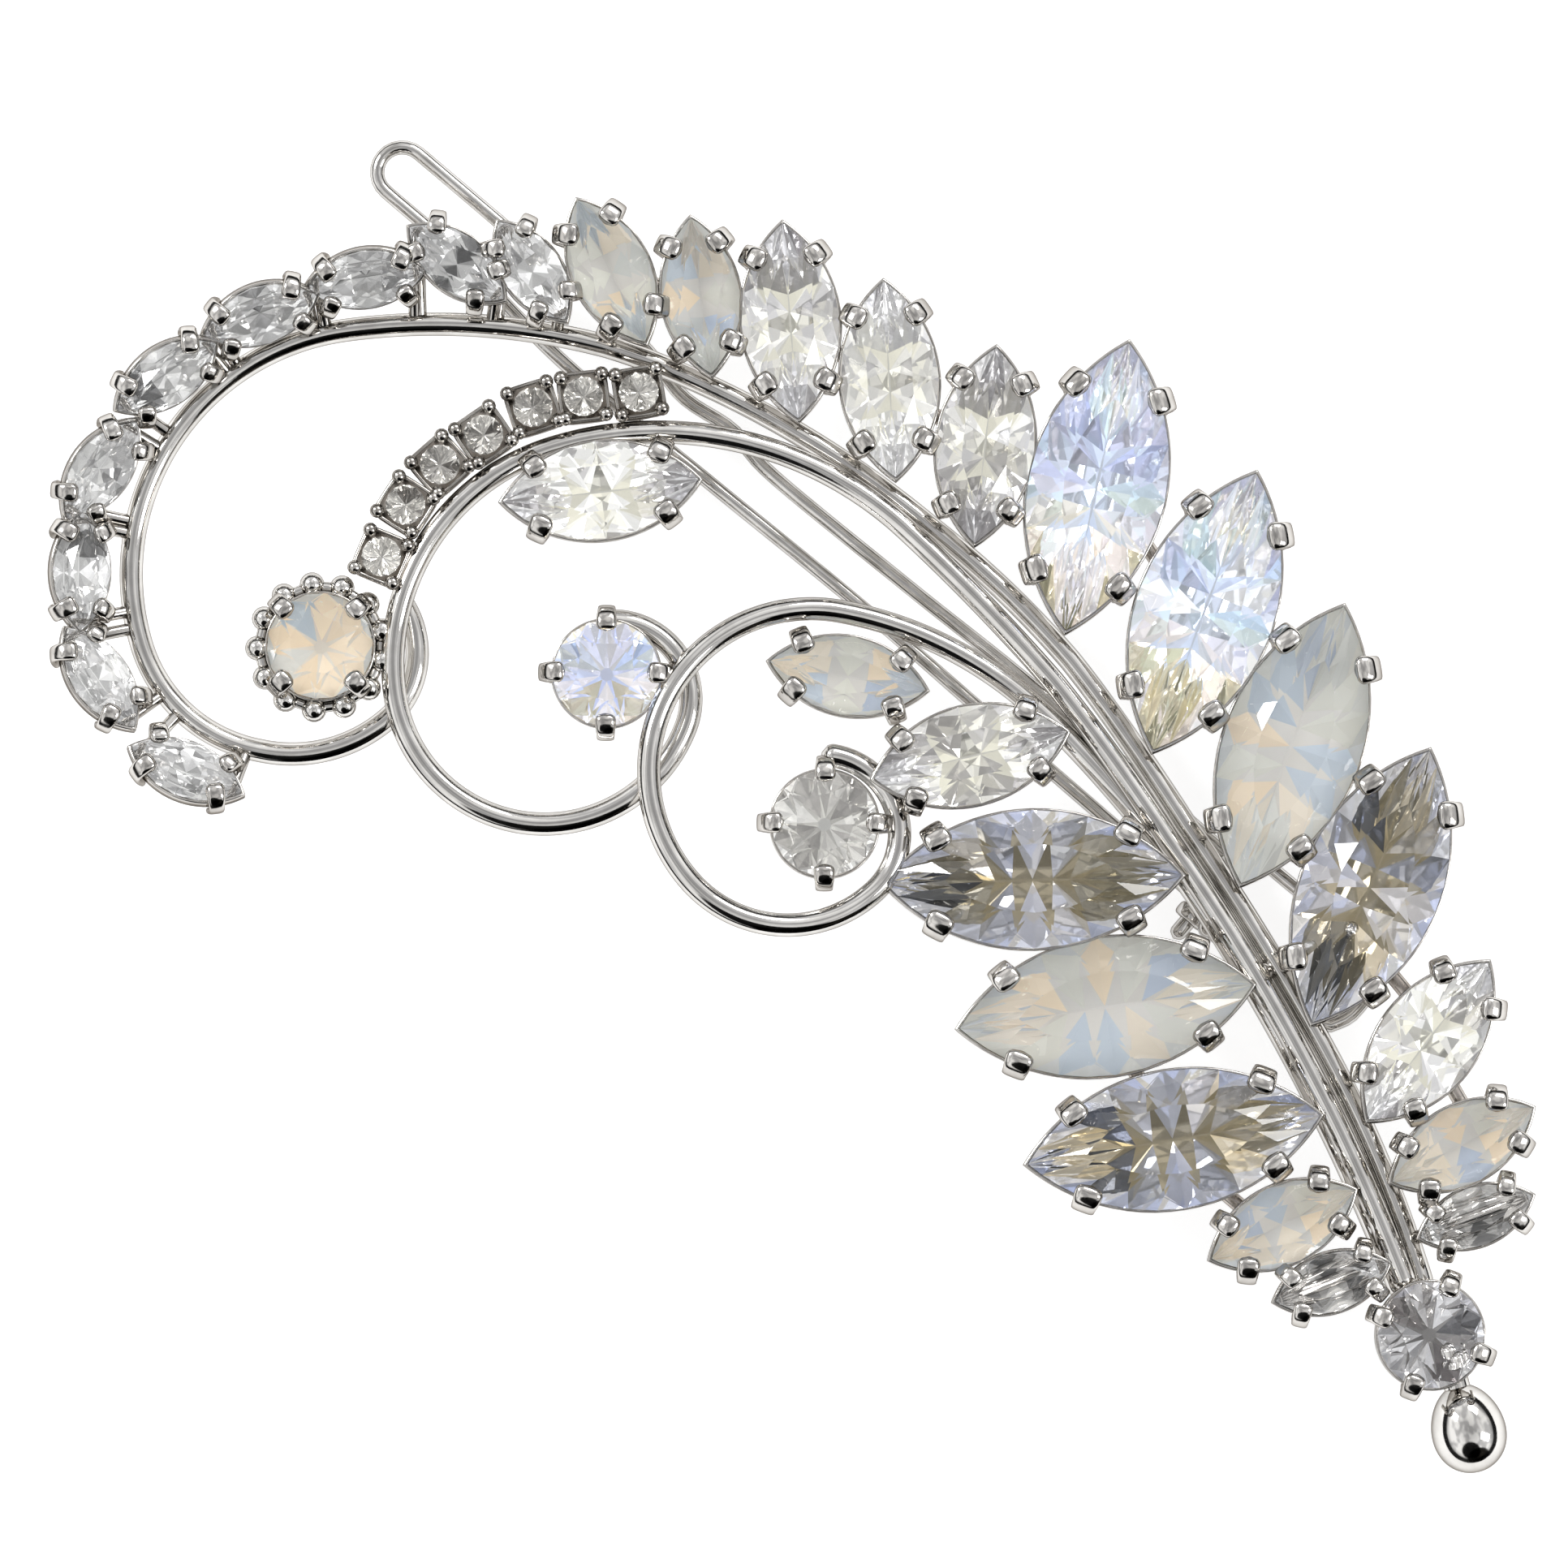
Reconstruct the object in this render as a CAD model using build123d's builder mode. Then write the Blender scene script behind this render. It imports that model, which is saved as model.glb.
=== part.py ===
"""Rhinestone hair clip: a feather of three scrolled stems set with stones, on a hinged wire clip.

+X runs along the clip wire towards the ball at the tip, +Y across the feather and +Z out of
the stones' faces.  The origin is under the middle of the clip, on the plane it lies on.
All lengths are millimetres and all angles degrees.
"""
from build123d import *
import os

os.makedirs("parts", exist_ok=True)

# ---------------------------------------------------------------- driving dimensions
SHIFT = Vector(0.295, 0.042, 0.0)  # moves the whole layout so that its box is centred

ROD_R = 0.6                        # stem rod radius
OUTER_Z = 3.4                      # centre height of the outer stem
MIDDLE_Z = OUTER_Z + 1.1           # the middle stem lies in the groove above the other two
INNER_Z = OUTER_Z + 0.1
GIRDLE_Z = 5.1                     # the stones' widest level, just above the stems
CURL_GIRDLE_Z = 4.9                # the same for the small stones outside the outer scroll
ROUND_GIRDLE_Z = 5.3               # the same for the round stones

GIRDLE_H = 0.3                     # straight band round every stone
RAIL = 0.22                        # sheet thickness of the settings
RAIL_DROP = 0.55                   # depth of the straight rail below the girdle

WIRE_R = 0.375                     # clip wire radius
HINGE = Vector(14.9, 7.0, 0.9)     # middle of the hinge pin
PIN_R = 0.45
PIN_LENGTH = 7.2
EYE_R = 0.9                        # outside radius of the wire eyes round the pin
EYE_W = 0.75
RUN_FIT = 0.05                     # radial clearance of the moving eyes on the pin

# navette sizes: length, width, crown height, pavilion depth, prong width
SIZES = {
    "large": (15.0, 7.0, 1.35, 2.6, 1.0),
    "medium": (10.0, 5.0, 1.05, 2.1, 0.85),
    "opal": (8.0, 4.0, 0.95, 1.8, 0.8),
    "small": (6.0, 3.0, 0.8, 1.4, 0.6),
}

# stems: tip end, heading, plane height, tilt of the plane, then (radius, turn) of each bend
STEMS = {
    "outer_stem": ((35.9, -1.45), 147.5, OUTER_Z, 0.0,
                   ((64, 11.9), (133, 9), (50, 32), (34, 28), (12.6, 99), (7.8, 114), (4.4, 80))),
    "middle_stem": ((35.2, -2.0), 151.5, MIDDLE_Z, 0.6,
                    ((102, 26), (18.5, 60), (11.5, 81), (7.7, 151), (4.0, 109))),
    "inner_stem": ((34.9, -3.1), 151.5, INNER_Z, 7.0,
                   ((102, 11.8), (72, 9.5), (20, 38), (8.4, 140), (6.6, 93), (4.0, 128))),
}

# leaf stones, from the ball end to the scrolls: name, size, x, y, turn, lift of the girdle
LEAVES = (
    ("upper_leaf_2", "opal", 32.8, 4.7, -112, 0),
    ("upper_leaf_3", "medium", 28.1, 7.6, -87, 0),
    ("upper_leaf_4", "large", 20.8, 11.7, -73, 0),
    ("upper_leaf_5", "large", 13.1, 14.6, -70, 0),
    ("upper_leaf_6", "large", 5.3, 16.9, -70, 0),
    ("upper_leaf_7", "large", -3.0, 18.2, -62, 0),
    ("upper_leaf_8", "medium", -8.7, 16.1, -56, 0),
    ("upper_leaf_9", "medium", -14.6, 15.5, -46, 0),
    ("upper_leaf_10", "medium", -20.4, 14.5, -45, 0),
    ("upper_leaf_11", "opal", -24.7, 12.5, -42, 0),
    ("upper_leaf_12", "opal", -29.0, 10.5, -24, 0),
    ("lower_leaf_2", "opal", 28.5, -4.3, 66, 0),
    ("lower_leaf_3", "large", 21.5, -4.6, 50, 0),
    ("lower_leaf_4", "large", 14.5, -1.7, 49, 0),
    ("lower_leaf_5", "large", 7.5, 0.8, 42, 0.7),
    ("lower_leaf_6", "medium", 1.0, 3.5, 54, 1.1),
    ("scroll_leaf_inner", "opal", -6.4, 2.6, 30, 0),
    ("scroll_leaf_middle", "medium", -22.1, 1.6, 47, 0.4),
)

# small stones: x, y, turn, outward lean; nine round the outer scroll and two near the ball
SMALL_STONES = (
    (-32.1, 7.9, -15, 0),
    (-35.3, 5.7, 3, 0),
    (-38.3, 2.1, 49, 20),
    (-41.2, -2.8, 60, 20),
    (-42.8, -8.3, 75, 20),
    (-42.2, -14.1, 95, 20),
    (-39.6, -18.7, 130, 20),
    (-35.3, -22.2, 165, 20),
    (-28.9, -22.9, 198, 20),
    (35.7, 2.4, -119, 0),
    (32.3, -4.9, 59, 0),
)

# round stones: name, x, y, turn of the prongs, lift of the girdle
ROUNDS = (
    ("tip_round", 37.8, -3.7, 20, 0),
    ("inner_round", -2.4, -3.9, 40, 0),
    ("middle_round", -15.8, -5.3, 40, 0.3),
    ("outer_round", -27.8, -13.7, 40, 0),
)
ROUND_R = 2.7
ROUND_CROWN = 1.1
ROUND_PAVILION = 2.2

# cups of the chain along the middle scroll: x, y, turn
CUPS = (
    (-23.9, 6.7, 50), (-25.9, 4.7, 47), (-27.5, 2.6, 58), (-28.5, -0.1, 75),
    (-29.2, -2.7, 82), (-29.2, -5.4, 98), (-28.4, -8.2, 108),
)
CUP_W = 2.4
CUP_H = 1.5
CUP_STONE_R = 1.0

# bars that tie neighbouring settings together: x, y, turn, length
BRIDGES = (
    (25.1, 9.0, -10, 3.0), (31.0, 6.6, -20, 3.0), (34.3, 3.3, -30, 2.4),
    (25.6, -4.9, 0, 3.0), (17.9, -3.2, -20, 3.0), (10.7, -0.3, -20, 3.0),
    (17.0, 13.4, -20, 3.0), (9.2, 15.8, -20, 3.0), (1.2, 17.6, -15, 3.0),
    (-6.3, 16.9, 15, 3.0), (-11.6, 15.8, 10, 3.0), (-17.5, 15.0, 10, 3.0),
    (-22.6, 13.4, 20, 3.0), (-26.9, 11.6, 20, 3.0),
)
BRIDGE_R = 0.4
BRIDGE_Z = 3.7

# posts that stand on the clip's base wire and are soldered to the stems and to one setting: x, y, top
POSTS = ((15.9, 4.9, INNER_Z), (19.5, 4.9, MIDDLE_Z), (22.8, 4.9, OUTER_Z), (21.5, 9.4, 2.7))
POST_R = 0.55


def keep(builder, name):
    """Label one finished piece and write it."""
    builder.part.label = name
    export_step(builder.part, f"parts/{name}.step")


def seat_at(x, y, z, turn, lean=0.0):
    """Plane of a stone's girdle: turned about +Z, then leaned about its own length."""
    return Plane(origin=SHIFT + Vector(x, y, z)).rotated((lean, 0, turn), ordering=Extrinsic.XYZ)


def lens(height, length, width):
    """Pointed oval of two arcs, lying level at the given height."""
    with BuildSketch(Plane.XY.offset(height)) as outline:
        with BuildLine():
            ThreePointArc((-length / 2, 0), (0, width / 2), (length / 2, 0))
            ThreePointArc((length / 2, 0), (0, -width / 2), (-length / 2, 0))
        make_face()
    return outline.sketch.face()


# ---------------------------------------------------------------- stems
stems = {}
for name, (tip, heading, height, tilt, bends) in STEMS.items():
    plane = seat_at(*tip, height, heading, tilt)
    with BuildPart() as stem:
        with BuildLine(plane) as route:
            point = (0, 0)
            tangent = (1, 0)
            for radius, turn in bends:
                bend = JernArc(point, tangent, radius, turn)
                point = bend @ 1
                tangent = bend % 1
        with BuildSketch(Plane(origin=route.line @ 0, z_dir=route.line % 0)):
            Circle(ROD_R)
        sweep(path=route.line)
    stems[name] = stem
    keep(stem, name)


# ---------------------------------------------------------------- navette stones and settings
PAVILION_SPAN = (0.4, 0.14)        # foot of the pavilion as shares of the length and width
TABLE_SPAN = (0.6, 0.5)            # table on top of the crown, as the same shares
FOOT_SPAN = (0.4, 0.25)            # foot of the setting, as the same shares
CLAW_STATION = 0.3                 # where the claws stand, as a share of the length
CLAW_FOOT = 1.0                    # depth of the claw straps below the girdle


def navette_pair(length, width, crown, pavilion, prong):
    """A navette stone with its girdle's foot at z = 0, and the claw setting that holds it."""
    girdle = lens(0, length, width)
    culet = lens(-pavilion, PAVILION_SPAN[0] * length, PAVILION_SPAN[1] * width)
    shoulder = lens(GIRDLE_H, length, width)
    table = lens(GIRDLE_H + crown, TABLE_SPAN[0] * length, TABLE_SPAN[1] * width)
    with BuildPart() as stone:
        loft([culet, girdle], ruled=True)
        extrude(girdle, amount=GIRDLE_H)
        loft([shoulder, table], ruled=True)
    station = CLAW_STATION * length
    arc_r = (length ** 2 + width ** 2) / (4 * width)
    edge = (arc_r ** 2 - station ** 2) ** 0.5 - arc_r + width / 2
    corners = [(sx * station, sy) for sx in (-1, 1) for sy in (-1, 1)]
    claw_top = GIRDLE_H + 0.55 * crown
    claw_mid = (claw_top - CLAW_FOOT) / 2
    bead_in = edge - 0.35 * prong
    foot = lens(-pavilion - RAIL, FOOT_SPAN[0] * length, FOOT_SPAN[1] * width)
    rail = lens(-RAIL_DROP, length + 3 * RAIL, width + 2 * RAIL)
    with BuildPart() as setting:
        loft([foot, rail], ruled=True)
        extrude(rail, amount=RAIL_DROP)
        with Locations(*[(x, side * edge, claw_mid) for x, side in corners]):
            Box(prong, 4 * RAIL, claw_top + CLAW_FOOT)
        with Locations(*[(x, side * bead_in, claw_top + 0.1) for x, side in corners]):
            Sphere(0.55 * prong)
        add(stone.part, mode=Mode.SUBTRACT)
    return stone, setting


pairs = {size: navette_pair(*dims) for size, dims in SIZES.items()}


def place(template, seats):
    """Copies of one template at the given seats, as one node."""
    with BuildPart() as group:
        with Locations(*seats):
            add(template.part)
    return group


def trimmed(template, seats, neighbours):
    """The template's copies with every neighbour that reaches them cut away."""
    group = place(template, seats)
    box = group.part.bounding_box()
    with BuildPart() as piece:
        add(group.part)
        for other in neighbours:
            reach = other.part.bounding_box()
            apart = (box.min.X > reach.max.X or reach.min.X > box.max.X
                     or box.min.Y > reach.max.Y or reach.min.Y > box.max.Y
                     or box.min.Z > reach.max.Z or reach.min.Z > box.max.Z)
            if not apart:
                add(other.part, mode=Mode.SUBTRACT)
    return piece


stones = {}
seats_of = {}
for name, size, x, y, turn, lift in LEAVES:
    seats_of[name] = (size, [seat_at(x, y, GIRDLE_Z + lift, turn)])
seats_of["small_leaf"] = ("small", [seat_at(x, y, CURL_GIRDLE_Z, turn, lean)
                                    for x, y, turn, lean in SMALL_STONES])
for name, (size, seats) in seats_of.items():
    stones[name] = trimmed(pairs[size][0], seats, stems.values())
    keep(stones[name], f"{name}_stone")


# ---------------------------------------------------------------- round stones and cups
with BuildPart() as round_stone:
    with BuildSketch(Plane.XZ):
        with BuildLine():
            Polyline((0, -ROUND_PAVILION), (ROUND_R, 0), (ROUND_R, GIRDLE_H),
                     (0.58 * ROUND_R, GIRDLE_H + ROUND_CROWN), (0, GIRDLE_H + ROUND_CROWN),
                     (0, -ROUND_PAVILION))
        make_face()
    revolve(axis=Axis.Z)

with BuildPart() as round_cup:
    with BuildSketch(Plane.XZ):
        with BuildLine():
            Polyline((0, -ROUND_PAVILION - RAIL), (0.5 * ROUND_R, -ROUND_PAVILION - RAIL),
                     (ROUND_R + RAIL, -RAIL_DROP), (ROUND_R + RAIL, 0), (0, 0),
                     (0, -ROUND_PAVILION - RAIL))
        make_face()
    revolve(axis=Axis.Z)
    with PolarLocations(ROUND_R, 4):
        Box(4 * RAIL, 0.9, 2.6)
    with PolarLocations(ROUND_R - 0.3, 4):
        with Locations((0, 0, 1.1)):
            Sphere(0.5)
    add(round_stone.part, mode=Mode.SUBTRACT)

round_seats = {name: seat_at(x, y, ROUND_GIRDLE_Z + lift, turn) for name, x, y, turn, lift in ROUNDS}
for name, seat in round_seats.items():
    stones[name] = trimmed(round_stone, [seat], stems.values())
    keep(stones[name], f"{name}_stone")

with BuildPart() as cup_stone:
    with BuildSketch(Plane.XZ):
        with BuildLine():
            Polyline((0, -0.9), (CUP_STONE_R, 0), (0.6 * CUP_STONE_R, 0.5), (0, 0.5), (0, -0.9))
        make_face()
    revolve(axis=Axis.Z)

with BuildPart() as cup:
    with Locations((0, 0, -CUP_H / 2)):
        Box(CUP_W, CUP_W, CUP_H)
    with GridLocations(CUP_W - 0.5, CUP_W - 0.5, 2, 2):
        Sphere(0.35)
    add(cup_stone.part, mode=Mode.SUBTRACT)

cup_seats = [seat_at(x, y, MIDDLE_Z + 0.9, turn) for x, y, turn in CUPS]
stones["cup_chain"] = place(cup_stone, cup_seats)
keep(stones["cup_chain"], "cup_chain_stones")

# settings are cut back where a stem, a stone or an earlier setting already stands
solids = list(stems.values()) + list(stones.values())
for name, (size, seats) in seats_of.items():
    setting = trimmed(pairs[size][1], seats, solids)
    solids.append(setting)
    keep(setting, f"{name}_setting")
for name, seat in round_seats.items():
    setting = trimmed(round_cup, [seat], solids)
    solids.append(setting)
    keep(setting, f"{name}_setting")
cup_chain = trimmed(cup, cup_seats, solids)
solids.append(cup_chain)
keep(cup_chain, "cup_chain_cups")


# ---------------------------------------------------------------- beaded rim, ball, bridges
RIM_R = 3.4                        # circle that the beads stand on
RIM_WALL = 0.3
RIM_H = 0.4
BEADS = 13
BEAD_R = 0.5
BEAD_H = 0.9
with BuildPart() as beaded_rim_shape:
    with BuildSketch():
        Circle(RIM_R + RIM_WALL)
        Circle(RIM_R - RIM_WALL, mode=Mode.SUBTRACT)
    extrude(amount=RIM_H)
    with PolarLocations(RIM_R, BEADS):
        with Locations((0, 0, RIM_H / 2)):
            Cylinder(BEAD_R, BEAD_H)
rim_x, rim_y = ROUNDS[3][1:3]
rim_seat = seat_at(rim_x, rim_y, ROUND_GIRDLE_Z - 1.0, 0)
beaded_rim = trimmed(beaded_rim_shape, [rim_seat], solids)
solids.append(beaded_rim)
keep(beaded_rim, "beaded_rim")

BALL_AT = (42.4, -6.0)
BALL_R = 1.75
BALL_LENGTH = 4.3
NECK_R = 0.5
NECK_REACH = 4.0                   # from the middle of the ball to the foot of its neck
ball_plane = seat_at(*BALL_AT, OUTER_Z + 0.3, -35)
with BuildPart() as ball:
    with BuildSketch(ball_plane):
        with BuildLine():
            Polyline((-BALL_LENGTH / 2, 0), (BALL_LENGTH / 2, 0))
            EllipticalCenterArc((0, 0), BALL_LENGTH / 2, BALL_R, start_angle=0, arc_size=180)
        make_face()
    revolve(axis=Axis(ball_plane.origin, ball_plane.x_dir))
    neck_foot = ball_plane.from_local_coords((-NECK_REACH, 0, 0))
    with BuildSketch(Plane(origin=neck_foot, z_dir=ball_plane.x_dir)):
        Circle(NECK_R)
    extrude(amount=NECK_REACH - BALL_LENGTH / 4)
    for other in solids:
        add(other.part, mode=Mode.SUBTRACT)
solids.append(ball)
keep(ball, "ball_end")

with BuildPart() as bridge_group:
    for x, y, turn, length in BRIDGES:
        with BuildSketch(seat_at(x, y, BRIDGE_Z, turn).rotated((0, 90, 0))):
            Circle(BRIDGE_R)
        extrude(amount=length / 2, both=True)
    for other in solids:
        add(other.part, mode=Mode.SUBTRACT)
solids.append(bridge_group)
keep(bridge_group, "bridge_bars")


# ---------------------------------------------------------------- clip
ARM_LEFT = HINGE.Y - 1.2           # the two legs of the spring wire at the hinge
ARM_RIGHT = HINGE.Y + 1.5
LOOP_X = -40.9                     # centre of the finger loop
LOOP_LEFT = 6.4
LOOP_RIGHT = 9.0
BASE_LEFT = ARM_LEFT - 0.9         # the two fixed eyes, outside the moving ones
BASE_RIGHT = ARM_RIGHT + 0.9
BASE_END_X = 24.4
BASE_Z = HINGE.Z + 0.5

LOOP_TIP = (LOOP_X + (LOOP_LEFT - LOOP_RIGHT) / 2, (LOOP_LEFT + LOOP_RIGHT) / 2)
LEG_END_X = HINGE.X - 0.6
LEFT_LEG = ((LEG_END_X, ARM_LEFT), (-8.0, 6.0), (-28.0, 5.6), (-36.0, LOOP_LEFT), (LOOP_X, LOOP_LEFT))
RIGHT_LEG = ((LOOP_X, LOOP_RIGHT), (-25.3, LOOP_RIGHT), (-22.3, 8.2), (-19.3, 8.7), (-16.3, 8.1),
             (1.5, 8.6), (LEG_END_X, ARM_RIGHT))

with BuildPart() as clip_arm:
    with BuildLine(Plane(origin=SHIFT + Vector(0, 0, HINGE.Z))) as route:
        FilletPolyline(*LEFT_LEG, radius=6)
        ThreePointArc((LOOP_X, LOOP_LEFT), LOOP_TIP, (LOOP_X, LOOP_RIGHT))
        FilletPolyline(*RIGHT_LEG, radius=4)
    with BuildSketch(Plane(origin=route.line @ 0, z_dir=route.line % 0)):
        Circle(WIRE_R)
    sweep(path=route.line)
    with Locations(*[SHIFT + Vector(HINGE.X, y, HINGE.Z) for y in (ARM_LEFT, ARM_RIGHT)]):
        Cylinder(EYE_R, EYE_W, rotation=(90, 0, 0))
        Cylinder(PIN_R + RUN_FIT, EYE_W, rotation=(90, 0, 0), mode=Mode.SUBTRACT)
keep(clip_arm, "clip_arm")

with BuildPart() as hinge_pin:
    with Locations(SHIFT + HINGE):
        Cylinder(PIN_R, PIN_LENGTH, rotation=(90, 0, 0))
keep(hinge_pin, "hinge_pin")

with BuildPart() as clip_base:
    with BuildLine(Plane(origin=SHIFT + Vector(0, 0, BASE_Z))) as route:
        FilletPolyline((HINGE.X + 0.4, BASE_LEFT), (BASE_END_X, BASE_LEFT), (BASE_END_X, BASE_RIGHT),
                       (HINGE.X + 0.4, BASE_RIGHT), radius=1.5)
    with BuildSketch(Plane(origin=route.line @ 0, z_dir=route.line % 0)):
        Circle(WIRE_R)
    sweep(path=route.line)
    with Locations(*[SHIFT + Vector(HINGE.X, y, HINGE.Z) for y in (BASE_LEFT, BASE_RIGHT)]):
        Cylinder(EYE_R, EYE_W, rotation=(90, 0, 0))
    for x, y, top in POSTS:
        with BuildSketch(seat_at(x, y, BASE_Z, 0)):
            Circle(POST_R)
        extrude(amount=top - BASE_Z)
    add(hinge_pin.part, mode=Mode.SUBTRACT)
    for other in solids:
        add(other.part, mode=Mode.SUBTRACT)
keep(clip_base, "clip_base")
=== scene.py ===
"""Rhinestone hair clip: the looks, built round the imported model.

Lengths in this script are millimetres until a mesh is written, and angles are degrees where
a name says so.  Every shape is worked out with numpy as rings of points carried along an
outline or a path.
"""
import math
import bpy
import numpy as np
from mathutils import Matrix, Vector


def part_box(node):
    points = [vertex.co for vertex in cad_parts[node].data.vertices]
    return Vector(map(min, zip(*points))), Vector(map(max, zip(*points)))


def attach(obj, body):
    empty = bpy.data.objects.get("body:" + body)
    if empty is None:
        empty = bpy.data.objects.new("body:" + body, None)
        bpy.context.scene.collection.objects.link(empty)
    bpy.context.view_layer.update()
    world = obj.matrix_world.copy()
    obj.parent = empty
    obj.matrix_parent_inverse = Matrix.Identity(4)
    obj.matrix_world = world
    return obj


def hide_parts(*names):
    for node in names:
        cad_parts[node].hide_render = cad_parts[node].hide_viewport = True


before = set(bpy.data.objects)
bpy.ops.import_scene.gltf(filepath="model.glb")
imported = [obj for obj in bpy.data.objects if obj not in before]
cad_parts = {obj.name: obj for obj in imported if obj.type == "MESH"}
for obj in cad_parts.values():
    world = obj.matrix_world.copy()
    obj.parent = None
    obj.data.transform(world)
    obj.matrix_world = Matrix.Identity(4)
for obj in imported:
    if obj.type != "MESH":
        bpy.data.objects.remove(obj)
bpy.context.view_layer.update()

MM = 0.001
SHIFT = np.array([0.295, 0.042, 0.0])   # the same centring shift as the solid model's
ROD_R = 0.6
WIRE_R = 0.375
OUTER_Z = 3.4
MIDDLE_Z = OUTER_Z + 1.1
INNER_Z = OUTER_Z + 0.1
GIRDLE_H = 0.3
RNG = np.random.default_rng(11)


# ---------------------------------------------------------------- mesh helpers
def grid_faces(rows, cols, wrap_rows=False):
    """Quads of a grid whose columns close on themselves; the rows close too if asked."""
    r = np.arange(rows if wrap_rows else rows - 1)[:, None]
    c = np.arange(cols)[None, :]
    r1 = (r + 1) % rows
    c1 = (c + 1) % cols
    corners = np.broadcast_arrays(r * cols + c, r * cols + c1, r1 * cols + c1, r1 * cols + c)
    return np.stack(corners, -1).reshape(-1, 4)


def closed_grid(rings):
    """Rings (rows, cols, 3) as a closed skin: quads between rings and a fan at each end."""
    rows, cols = rings.shape[:2]
    points = np.concatenate([rings.reshape(-1, 3), rings[:1].mean(1), rings[-1:].mean(1)])
    first, last = rows * cols, rows * cols + 1
    c = np.arange(cols)
    c1 = (c + 1) % cols
    fan_a = np.stack([np.full(cols, first), c1, c], -1)
    fan_b = np.stack([np.full(cols, last), (rows - 1) * cols + c, (rows - 1) * cols + c1], -1)
    return points, [list(f) for f in grid_faces(rows, cols)] + fan_a.tolist() + fan_b.tolist()


def outward(points, faces):
    """The faces with their winding turned so that the skin's signed volume is positive."""
    tri = np.array([(f[0], f[i], f[i + 1]) for f in faces for i in range(1, len(f) - 1)])
    a, b, c = points[tri[:, 0]], points[tri[:, 1]], points[tri[:, 2]]
    if np.einsum("ij,ij->i", a, np.cross(b, c)).sum() < 0:
        return [f[::-1] for f in faces]
    return faces


def joined(parts):
    """Several (points, faces) skins as one, each turned to face outwards."""
    points, faces, base = [], [], 0
    for p, f in parts:
        f = outward(p, f)
        faces += [[base + i for i in face] for face in f]
        points.append(p)
        base += len(p)
    return np.concatenate(points), faces


def make(name, parts, materials, nodes, body="ornament", smooth=True, slots=None, facet_colours_and_painted_light=None):
    """One piece from its skins, in place, riding on its body and standing for its CAD nodes."""
    points, faces = joined(parts)
    mesh = bpy.data.meshes.new(name)
    mesh.from_pydata((points * MM).tolist(), [], faces)
    piece = bpy.data.objects.new(name, mesh)
    bpy.context.collection.objects.link(piece)
    for material in materials:
        mesh.materials.append(material)
    mesh.polygons.foreach_set("use_smooth", np.full(len(faces), smooth))
    if slots is not None:
        mesh.polygons.foreach_set("material_index", np.asarray(slots, np.int32))
    # per-face colours; on the stones these are partly painted reflections of light and shade
    if facet_colours_and_painted_light is not None:
        layer = mesh.attributes.new("tint", "FLOAT_COLOR", "CORNER")
        counts = [len(f) for f in faces]
        layer.data.foreach_set("color", np.repeat(facet_colours_and_painted_light, counts, axis=0).astype(np.float32).ravel())
    mesh.update()
    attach(piece, body)
    if nodes:
        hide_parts(*nodes)
    return piece


def turned(points, seat):
    """Points of a stone's own frame carried to its seat (centre, turn, lean)."""
    centre, turn, lean = seat
    t, a = math.radians(turn), math.radians(lean)
    x, y, z = points[..., 0], points[..., 1], points[..., 2]
    y, z = y * math.cos(a) - z * math.sin(a), y * math.sin(a) + z * math.cos(a)
    x, y = x * math.cos(t) - y * math.sin(t), x * math.sin(t) + y * math.cos(t)
    return np.stack([x, y, z], -1) + centre


# ---------------------------------------------------------------- materials
def shader(name, **sockets):
    """A material with one Principled surface and the given socket values."""
    material = bpy.data.materials.new(name)
    material.use_nodes = True
    surface = material.node_tree.nodes["Principled BSDF"]
    for key, value in sockets.items():
        surface.inputs[key.replace("_", " ")].default_value = value
    return material, material.node_tree, surface


def noise(tree, scale, detail):
    """Noise on Object coordinates."""
    where = tree.nodes.new("ShaderNodeTexCoord")
    texture = tree.nodes.new("ShaderNodeTexNoise")
    texture.inputs["Scale"].default_value = scale
    texture.inputs["Detail"].default_value = detail
    tree.links.new(where.outputs["Object"], texture.inputs["Vector"])
    return texture.outputs["Fac"]


def ramp(tree, value, low, high, start=0.35, end=0.65):
    """A smooth blend from the low colour to the high one as the value rises."""
    blend = tree.nodes.new("ShaderNodeValToRGB")
    blend.color_ramp.elements[0].position = start
    blend.color_ramp.elements[1].position = end
    blend.color_ramp.elements[0].color = (*low, 1)
    blend.color_ramp.elements[1].color = (*high, 1)
    tree.links.new(value, blend.inputs["Fac"])
    return blend.outputs["Color"]


def bump(tree, surface, height, strength, distance):
    """Fine relief from a height value, through the surface's normal."""
    relief = tree.nodes.new("ShaderNodeBump")
    relief.inputs["Strength"].default_value = strength
    relief.inputs["Distance"].default_value = distance
    tree.links.new(height, relief.inputs["Height"])
    tree.links.new(relief.outputs["Normal"], surface.inputs["Normal"])


EDGE_TINT = (0.30, 0.28, 0.26, 1)       # darkens plated metal where it turns away
GRAIN_DEPTH = 0.00002                   # metres


def bright_metal(name, low, high, rough_low, rough_high, grain):
    """Plated metal: cloudy colour, uneven gloss and a faint polishing grain."""
    material, tree, surface = shader(name, Metallic=1.0, Specular_Tint=EDGE_TINT)
    tree.links.new(ramp(tree, noise(tree, 700, 4), low, high), surface.inputs["Base Color"])
    gloss = ramp(tree, noise(tree, 1500, 5), (rough_low,) * 3, (rough_high,) * 3)
    tree.links.new(gloss, surface.inputs["Roughness"])
    bump(tree, surface, noise(tree, 2600, 3), grain, GRAIN_DEPTH)
    return material


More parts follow.
